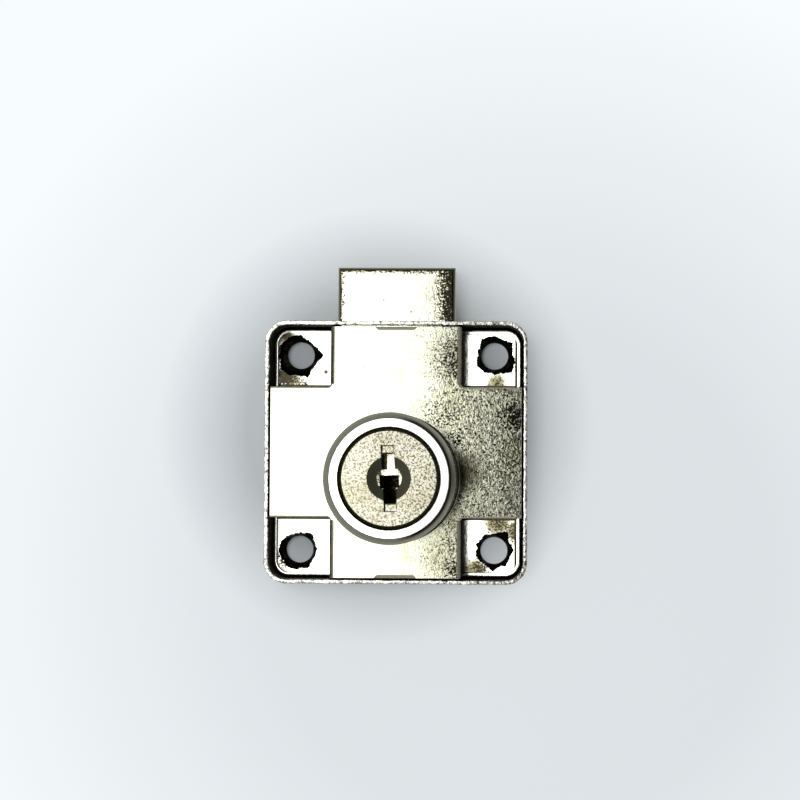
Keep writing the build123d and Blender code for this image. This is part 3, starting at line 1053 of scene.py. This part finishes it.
        # The lips' near-black finish and the bends' near-black steep parts are painted shade.
        torn = TORN_METAL_SHADED.material()
        lips = [self.torn_lip(corner, torn) for corner in Corner]
        bent = BENT_NICKEL.material()
        bends = [self.bend(corner, bent) for corner in Corner]
        pieces = [tray, rim, *lips, *bends]
        for piece in pieces:
            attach(piece, "case")
        return pieces


@dataclass
class Casting:
    """The die-cast body: a cross that fills the tray, with the round barrel on it."""

    ease: float = 0.09 * MM
    ring_depth: float = 0.9 * MM
    root_bevel: float = 0.3 * MM

    def build(self) -> list[Object]:
        """Build and place the casting: turned at the barrel's end, with painted shade below its face and at
        the root.

        Returns:
            The pieces.
        """
        mesh, points = joined_mesh("housing", "cast_body")
        body = eased_piece(mesh, "housing", CAST_NICKEL.material(), self.ease)
        mesh.materials.append(TURNED_NICKEL.material())
        mesh.materials.append(SHADED_NICKEL.material())
        cast, turned, shaded = range(3)
        ring = points[:, 2].max() - self.ring_depth
        for face in mesh.polygons:
            height, upright = face.center.z, face.normal.z
            # Painted shade: the root bevel and the walls below the face take the near-black finish.
            root = 0 < height - FACE < self.root_bevel and upright < LEVEL
            side = height < FACE and abs(upright) < WALL
            face.material_index = shaded if root or side else turned if height > ring else cast
        return [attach(body, "case")]


@dataclass
class SquareBolt:
    """The sliding bolt."""

    ease: float = 0.08 * MM

    def build(self) -> list[Object]:
        """Build and place the bolt.

        Returns:
            The pieces.
        """
        bolt = eased_piece(joined_mesh("bolt", "square_bolt")[0], "bolt", BOLT_NICKEL.material(), self.ease)
        return [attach(bolt, "bolt")]


@dataclass
class KeyPlug:
    """The plug that the key turns, with its sprung retainer."""

    ease: float = 0.05 * MM

    def build(self) -> list[Object]:
        """Build and place the plug, and give the retainer its finish.

        Returns:
            The pieces.
        """
        plug = eased_piece(joined_mesh("plug", "key_plug")[0], "plug", SATIN_NICKEL.material(), self.ease)
        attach(plug, "plug")
        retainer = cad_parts["plug_retainer"]
        retainer.data.materials.clear()
        retainer.data.materials.append(WAFER_BRASS.material())
        return [plug, retainer]


@dataclass
class CoilSpring:
    """One small compression spring, wound in a helix with closed ends."""

    node: str
    body: str
    run: SpringRun
    wire: float
    turns: float = 5.0
    closing: float = 0.8
    sides: int = 10
    steps: int = 28

    def build(self, finish: Material) -> Object:
        """Build the spring inside the box of its CAD node.

        The wire's centre goes round the coil's axis while its place along the axis follows a smooth step, so
        that the end turns lie close. At each point a ring of the wire's radius stands across the helix.

        Args:
            finish: the wire's material.

        Returns:
            The piece.
        """
        solid = mesh_points(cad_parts[self.node].data)
        along, up = np.array(self.run.value), np.array([0.0, 0.0, 1.0])
        across = np.cross(along, up)
        spans = [((solid @ way).min(), (solid @ way).max()) for way in (along, across, up)]
        (low, high), (left, right), (bottom, top) = spans
        axis = (left + right) / 2 * across + (bottom + top) / 2 * up
        count = int(self.turns * self.steps) + 1
        share = np.linspace(0, 1, count)
        angle = share * self.turns * 2 * math.pi
        pitch = share - self.closing * np.sin(2 * math.pi * share) / (2 * math.pi)
        place = low + self.wire / 2 + pitch * (high - low - self.wire)
        radius = (right - left - self.wire) / 2
        outward = np.cos(angle)[:, None] * across + np.sin(angle)[:, None] * up
        line = place[:, None] * along + axis + radius * outward
        tangent = np.gradient(line, axis=0)
        tangent /= np.linalg.norm(tangent, axis=1)[:, None]
        second = np.cross(tangent, outward)
        ring = (np.arange(self.sides) / self.sides * 2 * math.pi)[None, :, None]
        section = np.cos(ring) * outward[:, None, :] + np.sin(ring) * second[:, None, :]
        points = (line[:, None, :] + self.wire / 2 * section).reshape(-1, 3)
        piece = made_piece(f"coil_{self.node}", points, tube_faces(count, self.sides), finish)
        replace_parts(piece, self.node)
        if self.run is SpringRun.SIDEWAYS:
            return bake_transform(piece)
        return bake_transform(piece)


@dataclass
class WaferPack:
    """The seven sprung wafers that stop the plug from turning without its key, and all the springs."""

    count: int = 7
    wafer_wire: float = 0.2 * MM
    retainer_wire: float = 0.16 * MM

    def build(self) -> list[Object]:
        """Finish the wafers and build their springs and the retainer's.

        Returns:
            The pieces.
        """
        brass, steel = WAFER_BRASS.material(), SPRING_STEEL.material()
        pieces = []
        for number in range(1, self.count + 1):
            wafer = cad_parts[f"wafer_{number}"]
            wafer.data.materials.clear()
            wafer.data.materials.append(brass)
            spring = CoilSpring(
                f"wafer_spring_{number}", f"wafer_{number}", SpringRun.UPWARD, self.wafer_wire)
            pieces += [wafer, spring.build(steel)]
        spring = CoilSpring("retainer_spring", "retainer", SpringRun.SIDEWAYS, self.retainer_wire)
        return [*pieces, spring.build(steel)]


@dataclass
class Studio:
    """The paper under the lock, the lamp, the dark board beside the camera and the camera itself."""

    camera_place: Point = (14.908 * MM, -0.044 * MM, 356.149 * MM)
    camera_aim: Point = (0.618 * MM, 11.958 * MM, 7.4 * MM)
    camera_roll: float = 0.3407
    camera_near: float = 0.01
    lens: float = 103.284
    sensor: float = 36.0
    floor_half: float = 1.5
    floor_height: float = -0.02 * MM
    lamp_height: float = 1.2
    lamp_low: Pair = (-0.50, -0.12)
    lamp_high: Pair = (-0.045, 0.36)
    lamp_radiance: float = 3.0
    lamp_watts: float = 4.0
    world_colour: Colour = (0.96, 0.98, 1.0)
    world_span: Pair = (0.15, 0.9)
    world_levels: Pair = (0.42, 0.75)
    world_sides: Pair = (1.15, 0.50)
    board_colour: Colour = (0.08, 0.08, 0.07)
    board_low: Pair = (-0.004, -0.12)
    board_high: Pair = (0.16, 0.15)
    board_height: float = 0.37

    def camera(self) -> None:
        """Stand the camera over the lock, a little to its right, with its top towards the bolt."""
        place, aim = Vector(self.camera_place), Vector(self.camera_aim)
        back = (place - aim).normalized()
        right = Vector((0, 1, 0)).cross(back).normalized()
        basis = Matrix((right, back.cross(right), back)).transposed()
        turned = basis @ Matrix.Rotation(math.radians(self.camera_roll), 3, "Z")
        lens = bpy.data.cameras.new("camera")
        lens.lens = self.lens
        lens.sensor_width = self.sensor
        lens.clip_start = self.camera_near
        camera = shown("camera", lens)
        camera.matrix_world = Matrix.LocRotScale(place, turned.to_quaternion(), None)
        bpy.context.scene.camera = camera

    def level_sheet(self, name: str, low: Pair, high: Pair, height: float, finish: Material) -> Object:
        """A flat sheet between two corners at one height.

        Args:
            name: the sheet's name.
            low: its lowest corner, in X and Y.
            high: its highest corner.
            height: its height.
            finish: its material.

        Returns:
            The sheet.
        """
        corners = (low, (high[0], low[1]), high, (low[0], high[1]))
        mesh = bpy.data.meshes.new(name)
        mesh.from_pydata([(*corner, height) for corner in corners], [], [(0, 1, 2, 3)])
        mesh.materials.append(finish)
        sheet = shown(name, mesh)
        return sheet

    def lamp(self) -> None:
        """A large soft lamp overhead, to the left, whose power follows from its radiance and its area."""
        (left, near), (right, far) = self.lamp_low, self.lamp_high
        light = bpy.data.lights.new("soft_lamp", "AREA")
        light.shape = "RECTANGLE"
        light.size, light.size_y = right - left, far - near
        light.energy = self.lamp_radiance * self.lamp_watts * (right - left) * (far - near)
        shown("soft_lamp", light).location = ((left + right) / 2, (near + far) / 2, self.lamp_height)

    def world(self) -> None:
        """Pale light from all round, strongest from above and from the left, and white behind the lock."""
        world = bpy.data.worlds.new("studio")
        graph = ShaderGraph(world)
        way = graph.add("TexCoord").outputs["Generated"]
        level = graph.ramp(graph.part(way, Axis.Z), *self.world_span, *self.world_levels)
        side = graph.ramp(graph.part(way, Axis.X), -1.0, 1.0, *self.world_sides)
        behind = graph.add("LightPath").outputs["Is Camera Ray"]
        strength = graph.math("MAXIMUM", graph.math("MULTIPLY", level, side), behind)
        light = graph.add("Background", {"Color": self.world_colour, "Strength": strength})
        graph.add("OutputWorld", {"Surface": light.outputs[0]})
        bpy.context.scene.world = world

    def build(self) -> None:
        """Set up the camera, the light, the paper and the way colours are shown."""
        self.camera()
        self.world()
        self.lamp()
        half = self.floor_half
        self.level_sheet("paper", (-half, -half), (half, half), self.floor_height, PaperFinish().material())
        board = self.level_sheet("dark_board", self.board_low, self.board_high, self.board_height,
                                 PlainFinish("dark_board", self.board_colour).material())
        board.visible_camera = False
        bpy.context.scene.view_settings.view_transform = "Standard"


def main() -> None:
    """Build the lock and its studio, and report each piece."""
    logging.basicConfig(level=logging.INFO, format="%(message)s")
    for part in (Tray(), Casting(), SquareBolt(), KeyPlug(), WaferPack()):
        for piece in part.build():
            log.info("%s: %s with %d faces", type(part).__name__, piece.name, len(piece.data.polygons))
    Studio().build()


if __name__ == "__main__":
    main()
